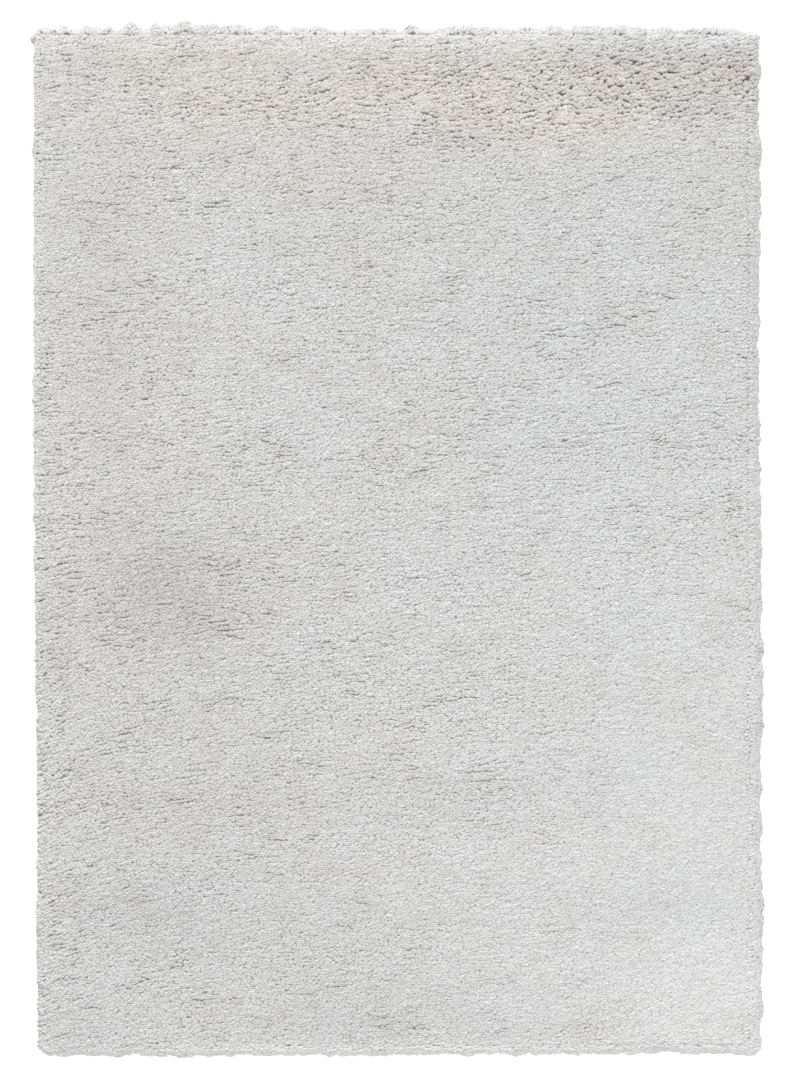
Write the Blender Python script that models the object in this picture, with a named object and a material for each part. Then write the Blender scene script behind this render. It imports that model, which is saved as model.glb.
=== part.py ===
"""Deep-pile shag rug: one flat piece, 1.2 m by 1.7 m, lying on its woven underside.

Metres, +Z up. +X runs across the rug and +Y along it, to the end whose tufts stick out most.
The origin lies on the floor, under the middle of the rug's bounding box.
"""
import math
import random
from collections import namedtuple

import bmesh
import bpy
import numpy as np
from mathutils import Vector
from mathutils.geometry import delaunay_2d_cdt

MM = 0.001

# Driving sizes
RUG_WIDTH = 1200 * MM
RUG_LENGTH = 1700 * MM
GROUND_THICKNESS = 2 * MM
PILE_LENGTH = 30 * MM
RUG_HEIGHT = GROUND_THICKNESS + PILE_LENGTH

# How far each straight edge stands out from the nominal rectangle, place by place along it
EdgePlace = namedtuple("EdgePlace", "along_mm out_mm")
LEFT_EDGE = (
    EdgePlace(-780, -8.0),
    EdgePlace(-700, -4.0),
    EdgePlace(-610, -2.0),
    EdgePlace(-530, -5.0),
    EdgePlace(-360, -4.5),
    EdgePlace(-200, 0.0),
    EdgePlace(-30, 1.5),
    EdgePlace(130, 4.0),
    EdgePlace(380, 2.5),
    EdgePlace(800, 3.0),
)
RIGHT_EDGE = (
    EdgePlace(-700, 1.0),
    EdgePlace(-610, 5.0),
    EdgePlace(-530, 0.0),
    EdgePlace(-360, 0.0),
    EdgePlace(-280, 4.0),
    EdgePlace(-30, 1.0),
    EdgePlace(300, -2.5),
    EdgePlace(630, 1.0),
    EdgePlace(710, -3.0),
    EdgePlace(800, 0.0),
)
TOP_EDGE = (
    EdgePlace(-560, -2.5),
    EdgePlace(-430, -2.0),
    EdgePlace(-360, 3.0),
    EdgePlace(-220, -1.0),
    EdgePlace(-90, -3.5),
    EdgePlace(40, -4.5),
    EdgePlace(100, 1.0),
    EdgePlace(170, -3.0),
    EdgePlace(370, 1.5),
    EdgePlace(435, -2.0),
    EdgePlace(570, -5.0),
)
BOTTOM_EDGE = (
    EdgePlace(-560, 0.0),
    EdgePlace(-490, 1.5),
    EdgePlace(-430, -0.5),
    EdgePlace(-360, 2.0),
    EdgePlace(-290, 0.0),
    EdgePlace(370, -2.5),
    EdgePlace(435, -6.0),
    EdgePlace(500, -4.0),
    EdgePlace(570, -2.0),
)

# Tufts make each edge ripple: how far, and over what lengths, worked out from seeded waves
Ripple = namedtuple("Ripple", "spread_mm seed")
SIDE_RIPPLE = Ripple(1.2, 3)
TOP_RIPPLE = Ripple(2.2, 5)
BOTTOM_RIPPLE = Ripple(1.0, 8)
RIPPLE_LENGTHS_MM = (38, 47, 59, 74, 96)

# Corners, anticlockwise from the right of the +Y end, each with its own rounding
Corner = namedtuple("Corner", "across along radius_mm")
CORNERS = (
    Corner(1, 1, 22),
    Corner(-1, 1, 15),
    Corner(-1, -1, 26),
    Corner(1, -1, 15),
)
CORNER_STEPS = 6
EDGE_STEP = 15 * MM
SMALLEST_RADIUS = 12 * MM

# The pile's section at the edge, from the ground's edge on the floor up to the top of the pile
SectionPoint = namedtuple("SectionPoint", "inset_mm height_mm")
EDGE_SECTION = (
    SectionPoint(6, 0),
    SectionPoint(1, 4),
    SectionPoint(0, 12),
    SectionPoint(4, 22),
    SectionPoint(12, 29),
)
TOP_INSET = 24 * MM
TOP_DROP_AT_RIM = 0.7 * MM

# The pile lies in broad, shallow waves
PileWave = namedtuple("PileWave", "across_mm along_mm phase_deg height_mm")
PILE_WAVES = (
    PileWave(910, 640, 20, 0.5),
    PileWave(-520, 380, 140, 0.4),
    PileWave(330, 260, 255, 0.4),
    PileWave(-1500, 190, 75, 0.4),
)
LATTICE_STEP = 50 * MM

PILE_COLOUR = "#D6D3CD"
PILE_ROUGHNESS = 0.95


def clear_scene():
    """Remove every object, so that the script can be run again."""
    for old in list(bpy.data.objects):
        bpy.data.objects.remove(old, do_unlink=True)


def linear_colour(hex_colour):
    """An sRGB hex colour as linear red, green, blue and alpha."""
    channels = [int(hex_colour[place:place + 2], 16) / 255 for place in (1, 3, 5)]
    linear = [c / 12.92 if c <= 0.04045 else ((c + 0.055) / 1.055) ** 2.4 for c in channels]
    return (*linear, 1.0)


def pile_material():
    """Matt cream microfibre pile."""
    material = bpy.data.materials.new("cream_pile")
    material.use_nodes = True
    shader = material.node_tree.nodes["Principled BSDF"]
    shader.inputs["Base Color"].default_value = linear_colour(PILE_COLOUR)
    shader.inputs["Roughness"].default_value = PILE_ROUGHNESS
    shader.inputs["Metallic"].default_value = 0.0
    return material


def rounded_rectangle(inset):
    """Points round the rug, inset from its nominal size, and the outward direction at each.

    Every inset gives the same number of points, so rings of different insets can be joined.
    """
    points = []
    outward = []
    for number, corner in enumerate(CORNERS):
        radius = max(corner.radius_mm * MM - inset, SMALLEST_RADIUS)
        centre = Vector((corner.across * (RUG_WIDTH / 2 - inset - radius),
                         corner.along * (RUG_LENGTH / 2 - inset - radius)))
        for step in range(CORNER_STEPS + 1):
            angle = math.radians(90) * (number + step / CORNER_STEPS)
            direction = Vector((math.cos(angle), math.sin(angle)))
            points.append(centre + direction * radius)
            outward.append(direction)
        following = CORNERS[(number + 1) % len(CORNERS)]
        next_radius = max(following.radius_mm * MM - inset, SMALLEST_RADIUS)
        next_start = Vector((following.across * (RUG_WIDTH / 2 - inset - next_radius),
                             following.along * (RUG_LENGTH / 2 - inset - next_radius)))
        next_start += direction * next_radius
        edge_length = RUG_LENGTH if abs(direction.x) > abs(direction.y) else RUG_WIDTH
        steps = round(edge_length / EDGE_STEP)
        start = points[-1]
        for step in range(1, steps):
            points.append(start.lerp(next_start, step / steps))
            outward.append(direction)
    return np.array(points), np.array(outward)


def along_table(table, along):
    """How far an edge stands out at each place along it, eased from row to row of its table."""
    rows = np.array(table)
    place = np.clip(along / MM, rows[0, 0], rows[-1, 0])
    after = np.clip(np.searchsorted(rows[:, 0], place), 1, len(rows) - 1)
    start = rows[after - 1]
    end = rows[after]
    share = (place - start[:, 0]) / (end[:, 0] - start[:, 0])
    ease = share * share * (3 - 2 * share)
    return (start[:, 1] + (end[:, 1] - start[:, 1]) * ease) * MM


def along_ripple(ripple, along):
    """The tufts' ripple at each place along an edge, as a sum of waves in seeded phases."""
    chance = random.Random(ripple.seed)
    height = ripple.spread_mm * MM * math.sqrt(2 / len(RIPPLE_LENGTHS_MM))
    total = np.zeros(len(along))
    for length_mm in RIPPLE_LENGTHS_MM:
        phase = chance.uniform(0, 2 * math.pi)
        total += height * np.sin(2 * math.pi * along / (length_mm * MM) + phase)
    return total


def edge_shift(points, outward):
    """How far each point of the outline moves, so that the edges are as uneven as a real rug's."""
    across = points[:, 0]
    along = points[:, 1]
    side_out = np.where(outward[:, 0] > 0, along_table(RIGHT_EDGE, along), along_table(LEFT_EDGE, along))
    side_out += along_ripple(SIDE_RIPPLE, along + RUG_LENGTH * (outward[:, 0] > 0))
    top_out = along_table(TOP_EDGE, across) + along_ripple(TOP_RIPPLE, across)
    bottom_out = along_table(BOTTOM_EDGE, across) + along_ripple(BOTTOM_RIPPLE, across)
    end_out = np.where(outward[:, 1] > 0, top_out, bottom_out)
    return np.column_stack((side_out * outward[:, 0], end_out * outward[:, 1]))


def pile_waves(across, along):
    """The height of the pile's broad waves at a place on the rug."""
    total = np.zeros(len(across))
    for wave in PILE_WAVES:
        turns = across / (wave.across_mm * MM) + along / (wave.along_mm * MM)
        total += wave.height_mm * MM * np.sin(2 * math.pi * turns + math.radians(wave.phase_deg))
    return total


def flat_lattice():
    """Points spread over the rug inside its rim, where its top is shaped."""
    half_across = RUG_WIDTH / 2 - TOP_INSET - LATTICE_STEP
    half_along = RUG_LENGTH / 2 - TOP_INSET - LATTICE_STEP
    columns = np.linspace(-half_across, half_across, round(2 * half_across / LATTICE_STEP) + 1)
    rows = np.linspace(-half_along, half_along, round(2 * half_along / LATTICE_STEP) + 1)
    return np.array([(x, y) for y in rows for x in columns])


def triangles_over(rim, inner):
    """Triangles that fill a rim through its inner points, as places in rim and then inner."""
    places = [Vector(place) for place in np.vstack((rim, inner))]
    filled = delaunay_2d_cdt(places, [], [list(range(len(rim)))], 1, 1e-7)
    return filled[2]


def add_ring(mesh, places, heights):
    """A ring of the mesh's vertices, one for each place and height."""
    return [mesh.verts.new((x, y, z)) for (x, y), z in zip(places, heights)]


def add_wall(mesh, lower, upper):
    """Quads between two rings with the same number of vertices."""
    for number in range(len(lower)):
        following = (number + 1) % len(lower)
        mesh.faces.new((lower[number], lower[following], upper[following], upper[number]))


def rug_mesh():
    """The whole rug as one closed solid: flat underside, full round edge and uneven top."""
    outline, outward = rounded_rectangle(0)
    shift = edge_shift(outline, outward)
    moved = outline + shift
    middle = (moved.min(axis=0) + moved.max(axis=0)) / 2
    shift = shift - middle

    solid = bmesh.new()
    rings = []
    for point in EDGE_SECTION:
        places = rounded_rectangle(point.inset_mm * MM)[0] + shift
        rings.append(add_ring(solid, places, np.full(len(places), point.height_mm * MM)))
    rim = rounded_rectangle(TOP_INSET)[0] + shift
    rim_heights = RUG_HEIGHT - TOP_DROP_AT_RIM + pile_waves(rim[:, 0], rim[:, 1])
    rings.append(add_ring(solid, rim, rim_heights))
    for lower, upper in zip(rings, rings[1:]):
        add_wall(solid, lower, upper)

    inner = flat_lattice()
    inner_heights = RUG_HEIGHT + pile_waves(inner[:, 0], inner[:, 1])
    top = rings[-1] + add_ring(solid, inner, inner_heights)
    for triangle in triangles_over(rim, inner):
        solid.faces.new([top[place] for place in triangle])
    solid.faces.new(list(reversed(rings[0])))

    bmesh.ops.triangulate(solid, faces=solid.faces[:])
    bmesh.ops.recalc_face_normals(solid, faces=solid.faces[:])
    mesh = bpy.data.meshes.new("rug")
    solid.to_mesh(mesh)
    solid.free()
    return mesh


def main():
    clear_scene()
    rug = bpy.data.objects.new("rug", rug_mesh())
    rug.data.materials.append(pile_material())
    rug.data.shade_smooth()
    rug.data.set_sharp_from_angle(angle=math.radians(60))
    bpy.context.scene.collection.objects.link(rug)


main()
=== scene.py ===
import math
from collections import namedtuple

import bpy
import numpy as np
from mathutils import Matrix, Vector
from mathutils.bvhtree import BVHTree


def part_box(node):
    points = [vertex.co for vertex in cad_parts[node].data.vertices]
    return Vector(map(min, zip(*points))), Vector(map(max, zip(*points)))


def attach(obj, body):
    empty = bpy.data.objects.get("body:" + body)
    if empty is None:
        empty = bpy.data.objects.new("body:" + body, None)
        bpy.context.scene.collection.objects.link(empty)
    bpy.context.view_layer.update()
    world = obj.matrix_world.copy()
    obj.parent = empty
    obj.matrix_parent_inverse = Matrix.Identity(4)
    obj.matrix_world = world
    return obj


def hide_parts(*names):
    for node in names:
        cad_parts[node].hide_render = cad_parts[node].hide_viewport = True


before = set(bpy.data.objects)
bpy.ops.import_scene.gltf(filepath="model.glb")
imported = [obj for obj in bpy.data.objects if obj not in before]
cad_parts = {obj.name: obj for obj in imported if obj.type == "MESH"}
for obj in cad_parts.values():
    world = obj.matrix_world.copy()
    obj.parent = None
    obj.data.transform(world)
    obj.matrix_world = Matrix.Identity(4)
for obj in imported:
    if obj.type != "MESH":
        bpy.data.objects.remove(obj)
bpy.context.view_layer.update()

MM = 0.001
RUG_NODE = "rug"
LOW, HIGH = (np.array(corner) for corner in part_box(RUG_NODE))

# The photograph: its size in pixels, and the place of the rug's middle in it
IMAGE_WIDTH = 800
IMAGE_HEIGHT = 1092
PIXEL = 1.653 * MM
RUG_MIDDLE_PIXEL = (397.6, 539.9)
RIM_HEIGHT = 12 * MM       # the height at which a pixel is that large
LENS_MM = 80
SENSOR_MM = 36
CLIP_END = 100

# Light: an even fill, a soft key from beyond the rug's far end and a weaker one from its near end
FILL_LIGHT = 0.7
KEY_LIGHTS = (1.85, 0.15)
KEY_TURNS_DEG = (-10, 170)
KEY_RISE_DEG = 35
KEY_SPREAD_DEG = 35
KEY_DISTANCE = 4
FLOOR_GLOW = 0.45
FLOOR_REACH = 20.0
FLOOR_DROP = 0.5 * MM      # below the rug's underside

# A tuft: a spindle with its belly nearer the tip, and a little above the line from root to tip. The
# belly's corners are shares of its width to the side and of its thickness upwards.
TUFT_LENGTH = 14 * MM
TUFT_WIDTH = 7.3 * MM
TUFT_THICKNESS = 4.0 * MM
BELLY_AT = 0.66            # share of the length, from the root
BELLY_RISE = 0.1           # share of the length
BELLY_CORNERS = ((0.0, 0.6), (-0.5, -0.4), (0.5, -0.4))
TUFT_POINTS = len(BELLY_CORNERS) + 2
LENGTH_RANGE = (0.85, 1.15)
SIZE_SPREAD = 0.2
ROUGH_SIZE = 0.18          # how much larger tufts grow with the patches' parts
SMOOTH_SIZE = -0.14        # the same where parts is below 0, so that they grow there too
TUFT_SEED = 7
LARGEST_PIECE = 20000      # tufts, at six triangles each

# A tuft's cell of the map: its margin and span, and the heights of root, belly and tip within it
MAP_MARGIN = 0.06
MAP_SPAN = 0.88
MAP_ROOT = 0.02
MAP_BELLY = 0.45
MAP_TIP = 0.98

# Where the tips are: in staggered rows on the top, and round the sides where the CAD rug is met by
# rays from a spine inside its edge, which fan from a little below level to upright
ROW_STEP = 3.1 * MM
COLUMN_STEP = 5.0 * MM
STAGGER = 0.5              # of a step, from one row to the next
JITTER = 0.2               # of a step
RAY_HEIGHT = 1.0
SPINE_INSET = 26 * MM
SPINE_HEIGHT = 7 * MM
SIDE_RISE_DEG = (-20, 90)
SIDE_STEP = 4.4 * MM
SIDE_ROW_STEP = 3.2 * MM
SIDE_JITTER = 0.4
LEAST_CORNER_RUN = 0.05    # share of a level row's run round a corner

# How the tufts lie: the nap's way, in degrees from across the rug, and its lean from upright
WAY_DEG = 5
ROUGH_WAY_DEG = 9          # further round where the pile is rough
WAY_STRAY_DEG = 10
WAY_SPREAD_DEG = 4
LEAN_DEG = 72
FLAT_LEAN_DEG = 8          # further over where it is flat
FLAT_UNEVENNESS = 0.25
LEAN_SPREAD_DEG = 5
LEAN_RANGE_DEG = (5, 85)
ROUGH_RANGE = (0.2, 1.5)

# At the far end the tufts turn to it and fan out, and round the sides they turn out and down. A
# pull is set against the nap's own 1 across the rug.
FAR_END_INSET = 24 * MM
FAR_END_EASE = 8 * MM
FAN_DEG = 50
FAN_SPREAD_DEG = 15
FAR_PULL = 3
OUTWARD_PULL = 1.6
DOWNWARD_PULL = 0.5
RIM_TURN = 0.4             # how much of the surface's own tilt the way up takes on there
LEAST_RISE = 0.2           # and the least that it still points up

# How far tips stand out past the CAD rug's rim, and how deep they lie below its top
RIM_BULGE = 3 * MM         # halfway round the rim, where it is most
EDGE_BUMP = 2 * MM
FINE_BUMP = 0.8            # share of EDGE_BUMP
TIP_DEPTH = 3 * MM
TIP_SPREAD_MM = 0.15
PARTING_DEPTH = 0.6 * MM
LOWEST_PILE = 0.3 * MM
LOWEST_TIP = 1 * MM
LOCK_LOOKUP = 0.3          # share of a tuft's length behind its tip, where its lock is looked up

# Mottles of warmer pile, a little darker too
MOTTLES = (24 * MM, 50 * MM, 110 * MM)
MOTTLE_WIDTH = 0.7         # share of their length
MOTTLE_TURN_DEG = 8
MOTTLE_SEED = 60
MOTTLING = 0.12
DARK_MOTTLING = 0.1        # share of the warmth
TONE_SPREAD = 0.03

# Smooth random fields: the length and width of their patches, the way these run, and their seed
Field = namedtuple("Field", "size turn seed")
FLAT_FIELD = Field((110 * MM, 60 * MM), 15, 1)
STRAY_FIELD = Field((50 * MM, 30 * MM), 0, 6)
FAN_FIELD = Field((11 * MM, 30 * MM), 0, 7)
BUMP_FIELD = Field((11 * MM, 11 * MM), 0, 50)
FINE_BUMP_FIELD = Field((5 * MM, 5 * MM), 0, 51)
DASH_FIELD = Field((12 * MM, 100 * MM), 0, 70)
WANDER_FIELD = Field((50 * MM, 50 * MM), 0, 71)

# Locks that the tufts cling together in: their length and width, the way they run, their seed; how
# much the pile parts between them (anywhere, more where it is rough, and unevenly); how wide it
# opens, and how far in from a lock's edge; how far that edge waves, and how deep it lies below the
# lock's crown
Lock = namedtuple("Lock", "length width turn seed parts more uneven opening slope wave crown")
LOCKS = (
    Lock(80 * MM, 13 * MM, 2, 30, 0.3, 0.3, 0.35, 1.6 * MM, 2.0 * MM, 6 * MM, 0.5 * MM),
    Lock(31 * MM, 9.2 * MM, 4, 40, 0.28, 0.95, 0.4, 1.9 * MM, 2.2 * MM, 4 * MM, 0.9 * MM),
    Lock(16 * MM, 6 * MM, 6, 50, -0.03, 1.3, 0.5, 2.4 * MM, 1.8 * MM, 2 * MM, 0.0),
    Lock(48 * MM, 10 * MM, 18, 80, -0.7, 1.6, 0.4, 2.4 * MM, 1.8 * MM, 5 * MM, 0.0),
)
LOCK_MIDDLES = (0.05, 0.95) # range of a lock's middle in its cell
WAVE_SIZE = (30 * MM, 30 * MM)
UNEVEN_SIZE = (60 * MM, 25 * MM)
UNEVEN_TURN_DEG = 12
PARTS_MOST = 1.5
SIDEWAYS = 4               # power that keeps locks from parting at their ends
CROWN_REACH = 0.3          # share of the lock's width

# Breaks in the partings
BREAK_LENGTH = 0.3         # share of the lock's length
BREAK_WIDTH = 11 * MM
BREAK_MEAN = 0.55
BREAK_SWING = 1.5
BREAK_MOST = 1.6

# The pieces under the tufts, the ground cloth and the bed of packed pile
GROUND_THICKNESS = 2 * MM
GROUND_INSET = 5 * MM
BED_DEPTH = 5.4 * MM       # below the CAD rug's top, and in from its outline
BED_GAP = 0.2 * MM
BED_HOLLOW = 4 * MM
HOLLOW_RANGE = (-0.2, 1)

# Finish. The fibres' crimp and the streaks of lighter and darker yarn are drawn coarser than the
# real yarn's fineness, so that they show.
CRIMP = 2.5 * MM
CRIMP_HEIGHT = 0.6 * MM
STREAK_LENGTH = 16 * MM
STREAK_WIDTH = 3.5 * MM
STREAK_TURN_DEG = -11
STRAND_HEIGHT = 1 * MM
THREAD_STEP = 2.5 * MM     # of the ground's warp and weft
THREAD_HEIGHT = 0.5 * MM
SIZE_PATCH = 60 * MM       # of the unevenness of the size on its back
WAVE_PERIOD = math.pi / 10 # of Blender's wave texture at scale 1, in its own units


# ---------------------------------------------------------------- small tools

def turned(places, degrees):
    """Places turned anticlockwise about the rug's middle."""
    angle = math.radians(degrees)
    across, along = places[:, 0], places[:, 1]
    return np.column_stack((across * math.cos(angle) - along * math.sin(angle),
                            across * math.sin(angle) + along * math.cos(angle)))


def unit(vectors):
    """The vectors at length 1."""
    return vectors / np.maximum(np.linalg.norm(vectors, axis=1, keepdims=True), 1e-9)


def cloud(places, size, turn, seed):
    """A smooth random field over the rug, from about -1 to 1. size is its patches' length and width."""
    grid = turned(places, -turn) / np.array(size)
    cell = np.floor(grid).astype(int)
    share = grid - cell
    ease = share * share * (3 - 2 * share)
    low = cell.min(axis=0)
    column, row = (cell - low).T
    values = np.random.default_rng(seed).uniform(-1, 1, tuple(cell.max(axis=0) - low + 2))
    near = values[column, row] * (1 - ease[:, 0]) + values[column + 1, row] * ease[:, 0]
    far = values[column, row + 1] * (1 - ease[:, 0]) + values[column + 1, row + 1] * ease[:, 0]
    return near * (1 - ease[:, 1]) + far * ease[:, 1]


def locks(places, size, turn, seed):
    """How each place lies in its lock: away from its nearest edge, how far that is, and how much
    that edge runs along the locks, from 0 to 1.

    Tufts cling together in locks of about size (length, width), and the pile parts between them.
    """
    size = np.array(size)
    grid = turned(places, -turn) / size
    cell = np.floor(grid).astype(int)
    low = cell.min(axis=0) - 1
    chance = np.random.default_rng(seed)
    count = tuple(cell.max(axis=0) - low + 2)
    middles = chance.uniform(*LOCK_MIDDLES, (*count, 2))
    nearest = np.full(len(places), np.inf)
    second = np.full(len(places), np.inf)
    towards = np.zeros((len(places), 2))
    towards_next = np.zeros((len(places), 2))
    for column in (-1, 0, 1):
        for row in (-1, 0, 1):
            neighbour = cell + (column, row)
            index = tuple((neighbour - low).T)
            offset = (neighbour + middles[index] - grid) * size
            away = np.linalg.norm(offset / size, axis=1)
            closer = away < nearest
            next_closest = ~closer & (away < second)
            second = np.where(closer, nearest, np.minimum(second, away))
            towards_next[closer] = towards[closer]
            towards_next[next_closest] = offset[next_closest]
            towards[closer] = offset[closer]
            nearest = np.minimum(nearest, away)
    away = unit((towards - towards_next) / size ** 2)
    return turned(away, turn), (second - nearest) / 2 * size.min(), np.abs(away[:, 1])


# ---------------------------------------------------------------- how the pile lies

# Soft patches of the pile: where each is and how far it reaches, in mm, and the way it
# runs; how much flatter the pile lies there, how much warmer it looks, how much lighter, and how
# much more it parts
Patch = namedtuple("Patch", "across_mm along_mm reach_across reach_along turn flat warm light parts")
# The light column paints light and shade into the tufts' tone: the rims are painted lighter and darker
# where they face towards and away from the key light, and the wider patches are partly tone and partly
# painted light and shade.
PATCHES = (
    Patch(60, 735, 700, 72, 2, 0.0, 0.58, 0.045, 0.55),
    Patch(300, 735, 260, 50, 4, 0.0, 0.0, 0.035, 0.72),
    Patch(110, 655, 170, 32, 8, 0.0, 0.1, 0.0, 0.35),
    Patch(0, 846, 900, 15, 0, 0.3, -0.1, -0.07, -0.2),
    Patch(0, 822, 900, 20, 0, 0.0, 0.0, 0.11, 0.0),
    Patch(0, -848, 900, 12, 0, 0.0, 0.0, 0.2, -0.4),
    Patch(470, 770, 190, 80, 0, 0.0, 0.38, -0.05, 0.62),
    Patch(-150, -640, 420, 90, 0, 0.0, 0.0, -0.03, 0.0),
    Patch(-20, -760, 260, 60, 0, 0.0, 0.0, -0.03, 0.0),
    Patch(560, -760, 160, 130, 0, 0.0, 0.0, 0.05, -0.2),
    Patch(0, 795, 800, 22, 0, 0.0, 0.15, -0.02, 0.0),
    Patch(-560, -800, 160, 90, 0, 0.0, 0.0, -0.06, 0.0),
    Patch(-608, 0, 7, 2000, 0, 0.0, 0.0, -0.14, 0.0),
    Patch(608, 0, 7, 2000, 0, 0.0, 0.0, -0.1, 0.0),
    Patch(565, -800, 28, 24, 0, 0.0, 0.35, -0.05, 0.5),
    Patch(310, -805, 45, 22, 0, 0.0, 0.2, -0.03, 0.4),
    Patch(-520, 250, 200, 600, 0, 0.0, 0.22, 0.0, 0.05),
    Patch(-410, -80, 180, 120, 0, 0.0, 0.2, 0.0, 0.1),
    Patch(-400, -420, 220, 60, 0, 0.0, 0.15, -0.01, 0.1),
    Patch(-600, -300, 60, 560, 0, 0.0, 0.0, 0.01, 0.5),
    Patch(150, -700, 600, 300, 0, 0.2, -0.05, 0.0, -0.34),
    Patch(520, -480, 260, 460, 0, 0.3, -0.15, 0.01, -0.68),
    Patch(-375, -75, 130, 110, 0, 0.0, 0.0, -0.12, 0.0),
    Patch(-380, -480, 330, 330, 0, 0.0, 0.0, -0.05, 0.0),
    Patch(-420, -603, 110, 50, 0, 0.0, 0.0, -0.05, 0.0),
    Patch(-60, -790, 150, 45, 0, 0.0, 0.0, -0.06, 0.0),
    Patch(110, -430, 220, 55, 0, 0.0, 0.0, -0.04, 0.0),
    Patch(-570, 815, 60, 40, 0, 0.0, 0.0, 0.04, 0.0),
    Patch(-350, 812, 250, 35, 0, 0.0, 0.3, 0.0, 0.0),
    Patch(520, 825, 220, 35, 0, 0.0, -0.35, 0.0, 0.0),
    Patch(330, 230, 330, 420, 0, 0.0, -0.25, 0.0, 0.0),
    Patch(-470, -560, 250, 160, 0, 0.0, 0.0, 0.0, 0.12),
    Patch(560, -560, 120, 300, 0, 0.0, 0.0, 0.0, -0.2),
    Patch(250, 665, 180, 40, 0, 0.0, 0.45, 0.0, 0.0),
    Patch(-130, 587, 220, 30, 0, 0.0, 0.3, 0.0, 0.0),
    Patch(505, 745, 60, 45, 0, 0.0, 0.0, -0.05, 0.0),
    Patch(120, 665, 60, 40, 0, 0.0, 0.0, -0.05, 0.0),
    Patch(-470, 330, 60, 260, 0, 0.0, 0.0, -0.035, 0.0),
    Patch(450, -605, 120, 40, 0, 0.0, 0.0, -0.05, 0.0),
    Patch(-560, -157, 40, 60, 0, 0.0, 0.0, -0.05, 0.0),
)

# A broken groove along the far end, between the tufts that stand out and the pile behind them
GROOVE_INSET = 17 * MM
GROOVE_WIDTH = 2.4 * MM
GROOVE_DEPTH = 3 * MM
GROOVE_OPENING = 2.8 * MM
GROOVE_WANDER = 2 * MM
GROOVE_MEAN = 0.5
GROOVE_SWING = 1.5

# Along the left edge the pile is combed further round, most on the near half
EDGE_TURN_DEG = 28
EDGE_REACH = 110 * MM
EDGE_MIDWAY = 0.25         # share of the turn at the middle of the rug's length
EDGE_FADE = 400 * MM       # over which it grows from none to all, towards the near end

# Knobs of loose tufts that stand out past the far end
Knob = namedtuple("Knob", "across_mm width_mm reach_mm")
KNOBS = (
    Knob(-585, 26, 4), Knob(-551, 11, 6), Knob(-511, 9, 4), Knob(-475, 9, 6), Knob(-437, 14, 6),
    Knob(-397, 8, 7), Knob(-379, 8, 4), Knob(-349, 28, 5), Knob(-301, 13, 6), Knob(-266, 8, 4),
    Knob(-172, 12, 3), Knob(-131, 18, 3), Knob(-9, 12, 3), Knob(114, 34, 4), Knob(206, 28, 4),
    Knob(269, 16, 4), Knob(296, 8, 5), Knob(368, 28, 3), Knob(520, 30, 5),
)


def pile_lie(places):
    """flat, warm, light and parts at each place, summed over the patches."""
    total = np.zeros((len(places), 4))
    for patch in PATCHES:
        centre = np.array((patch.across_mm, patch.along_mm)) * MM
        reach = np.array((patch.reach_across, patch.reach_along)) * MM
        away = turned(places - centre, -patch.turn) / reach
        share = np.exp(-(away ** 2).sum(axis=1))
        total += share[:, None] * np.array((patch.flat, patch.warm, patch.light, patch.parts))
    return total.T


def edge_turn(places):
    """How many degrees further the pile is turned by the left edge, and how far that shifts its
    locks along the rug."""
    beside = np.exp((LOW[0] - places[:, 0]) / EDGE_REACH)
    share = beside * np.clip(EDGE_MIDWAY - places[:, 1] / EDGE_FADE, 0, 1)
    return EDGE_TURN_DEG * share, -EDGE_REACH * math.tan(math.radians(EDGE_TURN_DEG)) * share


# ---------------------------------------------------------------- places for the tufts

def rug_surface():
    """The CAD rug's surface, to find where the pile's tips lie."""
    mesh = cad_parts[RUG_NODE].data
    corners = [vertex.co.copy() for vertex in mesh.vertices]
    return BVHTree.FromPolygons(corners, [tuple(face.vertices) for face in mesh.polygons])


def where_rays_meet(surface, starts, directions):
    """Where each ray meets the rug's surface, the surface's outward normal there, and which met."""
    places = np.zeros((len(starts), 3))
    normals = np.zeros((len(starts), 3))
    met = np.zeros(len(starts), bool)
    for number, (start, direction) in enumerate(zip(starts, directions)):
        place, normal, _, _ = surface.ray_cast(Vector(start), Vector(direction))
        if place is not None:
            places[number] = place
            normals[number] = normal
            met[number] = True
    return places[met], normals[met], met


def staggered(number, row):
    """The place of a tuft in its row, in steps, with every other row shifted."""
    return number + 0.5 + STAGGER * (row % 2) - STAGGER / 2


def top_tips(surface, chance):
    """Tips over the rug's top, in staggered rows across it."""
    half = HIGH[:2] - SPINE_INSET
    columns = round(2 * half[0] / COLUMN_STEP)
    rows = round(2 * half[1] / ROW_STEP)
    column, row = (index.ravel() for index in np.meshgrid(np.arange(columns), np.arange(rows)))
    across = staggered(column, row) / columns
    along = (row + 0.5) / rows
    places = np.column_stack((across, along)) * 2 * half - half
    places += chance.uniform(-JITTER, JITTER, places.shape) * (COLUMN_STEP, ROW_STEP)
    starts = np.column_stack((places, np.full(len(places), RAY_HEIGHT)))
    directions = np.tile((0.0, 0.0, -1.0), (len(starts), 1))
    places, normals, _ = where_rays_meet(surface, starts, directions)
    return places, normals


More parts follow.
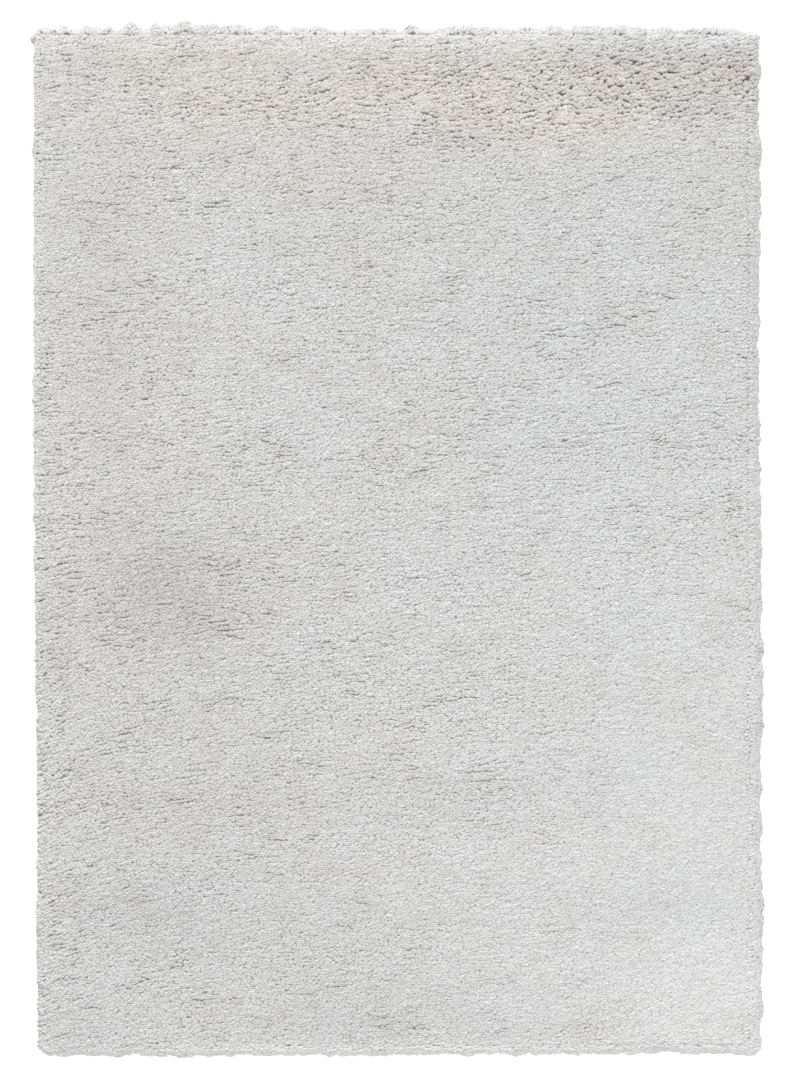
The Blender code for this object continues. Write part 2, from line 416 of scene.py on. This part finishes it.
def side_tips(surface, chance):
    """Tips round the rug's sides: rays fan up and out of a spine that runs inside its edge.

    The tufts lie outwards there, so they stand a row's step apart along the edge. The rays' own
    directions stand for the normals, so that the pile turns evenly round the rim's flat faces.
    """
    half = HIGH[:2] - SPINE_INSET
    low_rise, high_rise = (math.radians(rise) for rise in SIDE_RISE_DEG)
    arc = (high_rise - low_rise) * SPINE_INSET
    levels = round(arc / SIDE_STEP)
    starts = []
    directions = []
    for level in range(levels):
        rise = low_rise + (high_rise - low_rise) * (level + 0.5) / levels
        corner_run = math.pi / 2 * SPINE_INSET * max(math.cos(rise), LEAST_CORNER_RUN)
        for side in range(4):
            turn = side * math.pi / 2
            outward = np.array((math.cos(turn), math.sin(turn)))
            onward = np.array((-outward[1], outward[0]))
            run = 2 * abs(half @ onward)
            begin = half * (outward - onward)
            straight = round(run / SIDE_ROW_STEP)
            bent = max(round(corner_run / SIDE_ROW_STEP), 1)
            for number in range(straight + bent):
                spread = chance.uniform(-SIDE_JITTER, SIDE_JITTER, 2)
                tilt = rise + spread[0] * (high_rise - low_rise) / levels
                place = staggered(number, level) + spread[1]
                along = min(place / straight, 1.0)
                fan = turn + max(place - straight, 0.0) / bent * math.pi / 2
                starts.append((*(begin + onward * run * along), SPINE_HEIGHT))
                directions.append((math.cos(fan) * math.cos(tilt),
                                   math.sin(fan) * math.cos(tilt),
                                   math.sin(tilt)))
    places, _, met = where_rays_meet(surface, starts, directions)
    return places, np.array(directions)[met]


# ---------------------------------------------------------------- tufts

def partings(places):
    """How far the pile is pushed apart at each place, as a shift and as a share from 0 to 1, and
    how far it lies below the crowns of its locks."""
    _, _, _, parts = pile_lie(places)
    shift = np.zeros((len(places), 2))
    most = np.zeros(len(places))
    sunk = np.zeros(len(places))
    _, sweep = edge_turn(places)
    for lock in LOCKS:
        wave = lock.wave * cloud(places, WAVE_SIZE, 0, lock.seed + 2)
        waved = places + np.column_stack((np.zeros(len(places)), wave - sweep))
        away, edge, along = locks(waved, (lock.length, lock.width), lock.turn, lock.seed)
        uneven = lock.uneven * cloud(places, UNEVEN_SIZE, UNEVEN_TURN_DEG, lock.seed + 1)
        share = np.clip(lock.parts + lock.more * parts + uneven, 0, PARTS_MOST)
        breaks = cloud(places, (BREAK_LENGTH * lock.length, BREAK_WIDTH), 0, lock.seed + 3)
        broken = np.clip(BREAK_MEAN + BREAK_SWING * breaks, 0, BREAK_MOST)
        share = share * broken * along ** SIDEWAYS * np.exp(-(edge / lock.slope) ** 2)
        shift += away * (share * lock.opening)[:, None]
        most = np.maximum(most, share)
        sunk += lock.crown * np.exp(-(edge / (CROWN_REACH * lock.width)) ** 2)
    return shift, np.clip(most, 0, 1), sunk


def lay_tufts(tips, normals, chance):
    """Roots, tips, sizes and colours of the tufts, with their painted light and shade, laid as the pile
    lies.
    """
    count = len(tips)
    flat, warm, light, parts = pile_lie(tips[:, :2])
    flat = flat + FLAT_UNEVENNESS * cloud(tips, *FLAT_FIELD)
    mottling = sum(cloud(tips, (size, MOTTLE_WIDTH * size), MOTTLE_TURN_DEG, MOTTLE_SEED + number)
                   for number, size in enumerate(MOTTLES))
    warm = warm + MOTTLING * mottling
    light = light - DARK_MOTTLING * MOTTLING * mottling

    # The nap lies across the rug, to the right and a little up, and to the far end along it. Round
    # the sides it turns out and down, and where it would have to lie against its own way it stands.
    to_far_end = np.clip((tips[:, 1] - (HIGH[1] - FAR_END_INSET)) / FAR_END_EASE, 0, 1)
    rough = np.clip(1 + parts, *ROUGH_RANGE)
    calm = np.minimum(rough, 1)
    stray = WAY_STRAY_DEG * cloud(tips, *STRAY_FIELD) + chance.normal(0, WAY_SPREAD_DEG, count)
    further, _ = edge_turn(tips)
    way = np.radians(WAY_DEG + ROUGH_WAY_DEG * np.clip(parts, 0, 1) + further + stray * calm)
    fan_deg = FAN_DEG * cloud(tips, *FAN_FIELD) + chance.normal(0, FAN_SPREAD_DEG, count)
    fan = np.radians(fan_deg) * to_far_end
    nap = np.column_stack((np.cos(way), np.sin(way) + FAR_PULL * to_far_end, np.zeros(count)))
    nap[:, 0] += FAR_PULL * np.sin(fan)
    outward = normals * (1, 1, 0)
    steep = np.linalg.norm(outward, axis=1)
    nap += OUTWARD_PULL * outward * steep[:, None]
    nap[:, 2] -= DOWNWARD_PULL * steep ** 3
    risen = np.maximum(normals[:, 2], LEAST_RISE)
    upwards = unit(np.column_stack((normals[:, :2] * RIM_TURN, risen)))
    nap -= upwards * (nap * upwards).sum(axis=1, keepdims=True)
    held = np.clip(np.linalg.norm(nap, axis=1), 0, 1)
    nap = unit(nap)
    lean_deg = LEAN_DEG + FLAT_LEAN_DEG * flat + chance.normal(0, LEAN_SPREAD_DEG, count)
    lean = np.radians(np.clip(lean_deg, *LEAN_RANGE_DEG)) * held
    axis = unit(upwards * np.cos(lean)[:, None] + nap * np.sin(lean)[:, None])

    # Small tufts stand out all round, and knobs of them at the far end
    bumps = cloud(tips, *BUMP_FIELD) + FINE_BUMP * cloud(tips, *FINE_BUMP_FIELD)
    tips = tips + outward * (RIM_BULGE * 2 * normals[:, 2] + EDGE_BUMP * bumps)[:, None]
    for knob in KNOBS:
        beside = (tips[:, 0] - knob.across_mm * MM) / (knob.width_mm / 2 * MM)
        tips[:, 1] += knob.reach_mm * MM * np.exp(-beside ** 2) * to_far_end

    # The pile parts between its locks, and along the broken groove
    middles = tips - nap * TUFT_LENGTH * LOCK_LOOKUP
    shift, deep, sunk = partings(middles[:, :2])
    wander = GROOVE_WANDER * cloud(tips, *WANDER_FIELD)
    beside = (tips[:, 1] + wander - HIGH[1] + GROOVE_INSET) / GROOVE_WIDTH
    dashes = np.clip(GROOVE_MEAN + GROOVE_SWING * cloud(tips, *DASH_FIELD), 0, 1)
    groove = np.exp(-beside ** 2) * dashes
    tips = tips + np.column_stack((shift, np.zeros(count)))
    tips[:, 1] += GROOVE_OPENING * np.sign(beside) * groove
    # Tufts in the partings and the groove lie deeper, and through deep they are also painted darker, as
    # painted shade
    deep = np.maximum(deep, groove)
    sunk = sunk * rough + TIP_DEPTH * (1 - steep) + GROOVE_DEPTH * groove
    sunk += PARTING_DEPTH * deep + chance.normal(0, TIP_SPREAD_MM, count) * MM
    tips -= normals * sunk[:, None]
    length = TUFT_LENGTH * chance.uniform(*LENGTH_RANGE, count)
    roots = tips - axis * length[:, None]
    roots[:, 2] = np.maximum(roots[:, 2], GROUND_THICKNESS)
    tips[:, 2] = np.maximum(tips[:, 2], LOWEST_TIP)

    grown = 1 + np.where(parts > 0, ROUGH_SIZE, SMOOTH_SIZE) * parts
    size = (1 + chance.uniform(-SIZE_SPREAD, SIZE_SPREAD, count) * calm) * grown
    # The tone: random, plus the patches' painted light and shade
    tone_and_painted_light = light + chance.normal(0, TONE_SPREAD, count)
    return roots, tips, upwards, size, warm, tone_and_painted_light, deep


def tuft_mesh(name, roots, tips, up, size, warm, tone_and_painted_light, deep):
    """One mesh of closed spindle-shaped tufts: a root, a three-sided belly and a tip."""
    count = len(roots)
    axis = unit(tips - roots)
    side = unit(np.cross(axis, up))
    rise = np.cross(side, axis)
    length = np.linalg.norm(tips - roots, axis=1)[:, None]

    # Around the belly: its ridge faces up, its two lower edges spread to the sides
    belly = roots + axis * length * BELLY_AT + rise * length * BELLY_RISE
    points = [roots]
    for sideways, upwards in BELLY_CORNERS:
        spread = side * (sideways * TUFT_WIDTH) + rise * (upwards * TUFT_THICKNESS)
        points.append(belly + spread * size[:, None])
    points.append(tips)
    points = np.stack(points, axis=1).reshape(-1, 3)
    points[:, 2] = np.maximum(points[:, 2], LOWEST_PILE)

    # Faces turned outwards, from the root, point 0, round the belly to the tip, the last point
    corners = len(BELLY_CORNERS)
    tip = TUFT_POINTS - 1
    faces = []
    corner_spots = []
    for number in range(corners):
        after = (number + 1) % corners
        left, right = number / corners, (number + 1) / corners
        middle = (left + right) / 2
        faces += [(1 + number, 1 + after, 0), (1 + number, tip, 1 + after)]
        corner_spots += [((left, MAP_BELLY), (right, MAP_BELLY), (middle, MAP_ROOT)),
                         ((left, MAP_BELLY), (middle, MAP_TIP), (right, MAP_BELLY))]
    faces = np.array(faces)
    corner_spots = np.array(corner_spots)

    loops = (faces[None] + TUFT_POINTS * np.arange(count)[:, None, None]).reshape(-1)
    mesh = bpy.data.meshes.new(name)
    mesh.vertices.add(len(points))
    mesh.vertices.foreach_set("co", points.ravel())
    mesh.loops.add(len(loops))
    mesh.loops.foreach_set("vertex_index", loops)
    mesh.polygons.add(len(loops) // 3)
    mesh.polygons.foreach_set("loop_start", np.arange(0, len(loops), 3))

    # Each tuft has a cell of its own in the map
    cells = math.ceil(math.sqrt(count))
    number = np.arange(count)
    cell = np.stack((number % cells, number // cells), axis=1)
    spots = (cell[:, None, None] + MAP_MARGIN + MAP_SPAN * corner_spots[None]) / cells
    mesh.uv_layers.new(name="OFBake").data.foreach_set("uv", spots.ravel())

    # Attributes for the colour: warmth; tone, with painted light and shade; the painted shade of the
    # partings; and the share from root to tip, for the painted shade towards the root
    height = np.array((0, *(BELLY_AT for _ in BELLY_CORNERS), 1.0))
    for title, values in (("warmth", np.repeat(warm, TUFT_POINTS)),
                          ("tone_and_painted_light", np.repeat(tone_and_painted_light, TUFT_POINTS)),
                          ("parting_shade_share", np.repeat(deep, TUFT_POINTS)),
                          ("height", np.tile(height, count))):
        mesh.attributes.new(title, "FLOAT", "POINT").data.foreach_set("value", values)
    mesh.update()
    mesh.validate()
    mesh.shade_smooth()
    return mesh


# ---------------------------------------------------------------- materials

def linear(hex_colour):
    """An sRGB hex colour as linear red, green, blue and alpha."""
    channels = [int(hex_colour[place:place + 2], 16) / 255 for place in (1, 3, 5)]
    return (*(c / 12.92 if c <= 0.04045 else ((c + 0.055) / 1.055) ** 2.4 for c in channels), 1.0)


def add_node(material, kind, settings=None, links=None):
    """Adds a node; settings are its properties or inputs, links are its inputs from other sockets."""
    tree = material.node_tree
    node = tree.nodes.new(kind)
    for name, value in (settings or {}).items():
        if isinstance(name, int) or name in node.inputs:
            node.inputs[name].default_value = value
        else:
            setattr(node, name, value)
    for name, socket in (links or {}).items():
        tree.links.new(socket, node.inputs[name])
    return node


def new_material(name):
    """An empty material with its output, and its Principled shader."""
    material = bpy.data.materials.new(name)
    material.use_nodes = True
    material.node_tree.nodes.clear()
    shader = add_node(material, "ShaderNodeBsdfPrincipled")
    output = add_node(material, "ShaderNodeOutputMaterial")
    material.node_tree.links.new(shader.outputs[0], output.inputs["Surface"])
    return material, shader


def microfibre_yarn():
    """Polyester microfibre yarn, heat-set and cut: matt, soft and very pale.

    It is nearly white where the pile lies flat and creamier where it stands up. Its colour is
    painted darker towards its root, where little light reaches, and in the partings between its
    locks, as painted shade, and its tone carries painted light and shade at the rims.
    """
    material, shader = new_material("microfibre_yarn")
    link = material.node_tree.links.new
    shader.inputs["Roughness"].default_value = 0.9
    shader.inputs["IOR"].default_value = 1.5
    shader.inputs["Specular IOR Level"].default_value = 0.25
    shader.inputs["Sheen Weight"].default_value = 0.15
    shader.inputs["Sheen Roughness"].default_value = 0.6

    warmth = add_node(material, "ShaderNodeAttribute", {"attribute_name": "warmth"})
    hues = add_node(material, "ShaderNodeValToRGB")
    warm_place = add_node(material, "ShaderNodeMapRange", {"From Min": -1.0, "From Max": 1.0},
                          {"Value": warmth.outputs["Fac"]})
    link(warm_place.outputs[0], hues.inputs["Fac"])
    ramp = hues.color_ramp
    ramp.elements[0].color = linear("#E6E8EA")
    ramp.elements[1].color = linear("#EDE6E0")
    ramp.elements.new(0.5).color = linear("#E8E8E7")

    # Painted shade: the colour darkens towards the root, where little light reaches
    height = add_node(material, "ShaderNodeAttribute", {"attribute_name": "height"})
    root_shade = add_node(material, "ShaderNodeMapRange",
                      {"From Min": 0.15, "From Max": 0.9, "To Min": 0.88, "To Max": 1.0},
                      {"Value": height.outputs["Fac"]})
    # Painted shade: darker in the partings between the locks and along the groove
    parting_shade_share = add_node(material, "ShaderNodeAttribute", {"attribute_name": "parting_shade_share"})
    parting_shade = add_node(material, "ShaderNodeMapRange", {"To Min": 1.0, "To Max": 0.85},
                      {"Value": parting_shade_share.outputs["Fac"]})
    # Tone, with the patches' painted light and shade
    tone_and_painted_light = add_node(material, "ShaderNodeAttribute", {"attribute_name": "tone_and_painted_light"})
    place = add_node(material, "ShaderNodeTexCoord")
    stretched = add_node(material, "ShaderNodeMapping",
                         {"Rotation": (0, 0, math.radians(STREAK_TURN_DEG)),
                          "Scale": (1 / STREAK_LENGTH, 1 / STREAK_WIDTH, 1 / STREAK_WIDTH)},
                         {"Vector": place.outputs["Object"]})
    streaks = add_node(material, "ShaderNodeTexNoise", {"Scale": 1.0, "Detail": 1.0},
                       {"Vector": stretched.outputs[0]})
    streaked = add_node(material, "ShaderNodeMapRange",
                        {"From Min": 0.3, "From Max": 0.7, "To Min": 0.94, "To Max": 1.06},
                        {"Value": streaks.outputs["Fac"]})
    toned = add_node(material, "ShaderNodeMath", {"operation": "ADD"},
                     {0: tone_and_painted_light.outputs["Fac"], 1: streaked.outputs[0]})
    shade = add_node(material, "ShaderNodeMath", {"operation": "MULTIPLY"},
                     {0: root_shade.outputs[0], 1: parting_shade.outputs[0]})
    shade = add_node(material, "ShaderNodeMath", {"operation": "MULTIPLY"},
                     {0: shade.outputs[0], 1: toned.outputs[0]})
    colour = add_node(material, "ShaderNodeVectorMath", {"operation": "SCALE"},
                      {0: hues.outputs["Color"], "Scale": shade.outputs[0]})
    link(colour.outputs[0], shader.inputs["Base Color"])

    crimp = add_node(material, "ShaderNodeTexNoise", {"Scale": 1 / CRIMP, "Detail": 1.0},
                     {"Vector": place.outputs["Object"]})
    bump = add_node(material, "ShaderNodeBump", {"Strength": 0.6, "Distance": CRIMP_HEIGHT},
                    {"Height": crimp.outputs["Fac"]})
    link(bump.outputs[0], shader.inputs["Normal"])
    return material


def deep_pile():
    """The same yarn seen down between the tufts: packed strands, its colour painted darker as painted
    shade, because light hardly gets there, with hollows painted darker still between them."""
    material, shader = new_material("deep_pile")
    shader.inputs["Roughness"].default_value = 1.0
    shader.inputs["IOR"].default_value = 1.5
    shader.inputs["Specular IOR Level"].default_value = 0.1

    place = add_node(material, "ShaderNodeTexCoord")
    laid = add_node(material, "ShaderNodeMapping",
                    {"Scale": (1 / TUFT_LENGTH, 1 / TUFT_THICKNESS, 1 / TUFT_THICKNESS)},
                    {"Vector": place.outputs["Object"]})
    strands = add_node(material, "ShaderNodeTexNoise", {"Scale": 1.0, "Detail": 2.0},
                       {"Vector": laid.outputs[0]})
    shades = add_node(material, "ShaderNodeValToRGB", None, {"Fac": strands.outputs["Fac"]})
    shades.color_ramp.elements[0].position = 0.3
    shades.color_ramp.elements[0].color = linear("#77736D")
    shades.color_ramp.elements[1].position = 0.65
    shades.color_ramp.elements[1].color = linear("#A29E98")
    material.node_tree.links.new(shades.outputs["Color"], shader.inputs["Base Color"])
    bump = add_node(material, "ShaderNodeBump", {"Strength": 0.8, "Distance": STRAND_HEIGHT},
                    {"Height": strands.outputs["Fac"]})
    material.node_tree.links.new(bump.outputs[0], shader.inputs["Normal"])
    return material


def woven_ground():
    """Plain-woven polyester ground cloth, sized at the back: matt and off-white, its warp and weft
    threads standing up from gaps painted darker as painted shade, with a faint unevenness where the
    size soaked in."""
    material, shader = new_material("woven_ground")
    link = material.node_tree.links.new
    shader.inputs["Roughness"].default_value = 0.85
    shader.inputs["IOR"].default_value = 1.5
    shader.inputs["Specular IOR Level"].default_value = 0.3

    place = add_node(material, "ShaderNodeTexCoord")
    threads = [add_node(material, "ShaderNodeTexWave",
                        {"wave_type": "BANDS", "bands_direction": direction,
                         "Scale": WAVE_PERIOD / THREAD_STEP, "Distortion": 0.4, "Detail": 1.0},
                        {"Vector": place.outputs["Object"]})
               for direction in ("X", "Y")]
    weave = add_node(material, "ShaderNodeMath", {"operation": "MULTIPLY"},
                     {0: threads[0].outputs["Fac"], 1: threads[1].outputs["Fac"]})
    size = add_node(material, "ShaderNodeTexNoise", {"Scale": 1 / SIZE_PATCH, "Detail": 2.0},
                    {"Vector": place.outputs["Object"]})
    # The size's real unevenness, plus painted shade in the gaps between the threads
    size_and_gap_shade = add_node(material, "ShaderNodeMath", {"operation": "MULTIPLY_ADD", 1: 0.3},
                    {0: size.outputs["Fac"], 2: weave.outputs[0]})
    shades = add_node(material, "ShaderNodeValToRGB", None, {"Fac": size_and_gap_shade.outputs[0]})
    shades.color_ramp.elements[0].color = linear("#B3AB9B")
    shades.color_ramp.elements[1].position = 0.7
    shades.color_ramp.elements[1].color = linear("#D8D2C5")
    link(shades.outputs["Color"], shader.inputs["Base Color"])
    bump = add_node(material, "ShaderNodeBump", {"Strength": 0.7, "Distance": THREAD_HEIGHT},
                    {"Height": weave.outputs[0]})
    link(bump.outputs[0], shader.inputs["Normal"])
    return material


def floor_material():
    """Plain pale matt studio floor, a light table: it glows a little, so the rug throws no shade."""
    material, shader = new_material("pale_floor")
    shader.inputs["Emission Color"].default_value = linear("#FFFFFF")
    shader.inputs["Emission Strength"].default_value = FLOOR_GLOW
    shader.inputs["Base Color"].default_value = linear("#FAFAFA")
    shader.inputs["Roughness"].default_value = 0.9
    shader.inputs["Specular IOR Level"].default_value = 0.1
    return material


# ---------------------------------------------------------------- pieces

def add_piece(name, mesh, material):
    """A piece of the rug, with its material."""
    piece = bpy.data.objects.new(name, mesh)
    mesh.materials.append(material)
    bpy.context.scene.collection.objects.link(piece)
    return piece


def inner_copy(name, inset, bottom, top, hollow=0.0):
    """The CAD rug's shape drawn in by an inset and flattened between two heights.

    Where the pile is rough its top is lower by hollow, and where it is smooth, higher.
    """
    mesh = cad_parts[RUG_NODE].data.copy()
    mesh.name = name
    mesh.materials.clear()
    places = np.zeros(len(mesh.vertices) * 3)
    mesh.vertices.foreach_get("co", places)
    places = places.reshape(-1, 3)
    places[:, :2] *= 1 - inset / HIGH[:2]
    _, _, _, parts = pile_lie(places[:, :2])
    thickness = top - hollow * np.clip(parts, *HOLLOW_RANGE) - bottom
    places[:, 2] = bottom + thickness * places[:, 2] / HIGH[2]
    mesh.vertices.foreach_set("co", places.ravel())
    mesh.update()
    return mesh


def build_rug():
    """All of the rug's pieces: its ground, the bed of its pile, and the tufts in bands across it."""
    chance = np.random.default_rng(TUFT_SEED)
    surface = rug_surface()
    top, top_normals = top_tips(surface, chance)
    sides, side_normals = side_tips(surface, chance)
    tips = np.vstack((top, sides))
    normals = np.vstack((top_normals, side_normals))
    tufts = lay_tufts(tips, normals, chance)

    ground_mesh = inner_copy("ground_cloth", GROUND_INSET, 0.0, GROUND_THICKNESS)
    ground = add_piece("ground_cloth", ground_mesh, woven_ground())
    bed_mesh = inner_copy("pile_bed", BED_DEPTH, GROUND_THICKNESS + BED_GAP, HIGH[2] - BED_DEPTH,
                          BED_HOLLOW)
    bed = add_piece("pile_bed", bed_mesh, deep_pile())
    yarn = microfibre_yarn()
    order = np.argsort(tips[:, 0], kind="stable")
    bands = math.ceil(len(order) / LARGEST_PIECE)
    pile = []
    for number, chosen in enumerate(np.array_split(order, bands)):
        name = f"pile_{number + 1}"
        mesh = tuft_mesh(name, *(part[chosen] for part in tufts))
        pile.append(add_piece(name, mesh, yarn))
    return ground, bed, pile


# ---------------------------------------------------------------- studio

def set_studio():
    """A pale floor, soft light from above and the camera straight over the rug."""
    scene = bpy.context.scene
    scene.view_settings.view_transform = "Standard"

    floor_mesh = bpy.data.meshes.new("floor")
    corners = [(across * FLOOR_REACH, along * FLOOR_REACH, 0)
               for across, along in ((-1, -1), (1, -1), (1, 1), (-1, 1))]
    floor_mesh.from_pydata(corners, [], [(0, 1, 2, 3)])
    floor = bpy.data.objects.new("floor", floor_mesh)
    floor.location.z = -FLOOR_DROP
    floor_mesh.materials.append(floor_material())
    scene.collection.objects.link(floor)

    world = bpy.data.worlds.new("studio")
    scene.world = world
    world.use_nodes = True
    background = world.node_tree.nodes["Background"]
    background.inputs["Color"].default_value = linear("#FFFFFF")
    background.inputs["Strength"].default_value = FILL_LIGHT

    rise = math.radians(KEY_RISE_DEG)
    for strength, turn_deg in zip(KEY_LIGHTS, KEY_TURNS_DEG):
        key_data = bpy.data.lights.new("soft_key", "SUN")
        key_data.angle = math.radians(KEY_SPREAD_DEG)
        key_data.energy = strength
        key = bpy.data.objects.new("soft_key", key_data)
        turn = math.radians(turn_deg)
        towards = Vector((math.cos(rise) * math.sin(turn),
                          math.cos(rise) * math.cos(turn),
                          math.sin(rise)))
        key.location = towards * KEY_DISTANCE
        key.rotation_mode = "QUATERNION"
        key.rotation_quaternion = towards.to_track_quat("Z", "Y")
        scene.collection.objects.link(key)

    camera_data = bpy.data.cameras.new("camera")
    camera_data.lens = LENS_MM
    camera_data.sensor_width = SENSOR_MM
    camera = bpy.data.objects.new("camera", camera_data)
    distance = IMAGE_HEIGHT * PIXEL * LENS_MM / SENSOR_MM
    camera.location = ((IMAGE_WIDTH / 2 - RUG_MIDDLE_PIXEL[0]) * PIXEL,
                       (RUG_MIDDLE_PIXEL[1] - IMAGE_HEIGHT / 2) * PIXEL,
                       distance + RIM_HEIGHT)
    camera_data.clip_end = CLIP_END
    scene.collection.objects.link(camera)
    scene.camera = camera


set_studio()
ground, bed, pile = build_rug()
for piece in (ground, bed, *pile):
    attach(piece, "root")
    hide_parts(RUG_NODE)
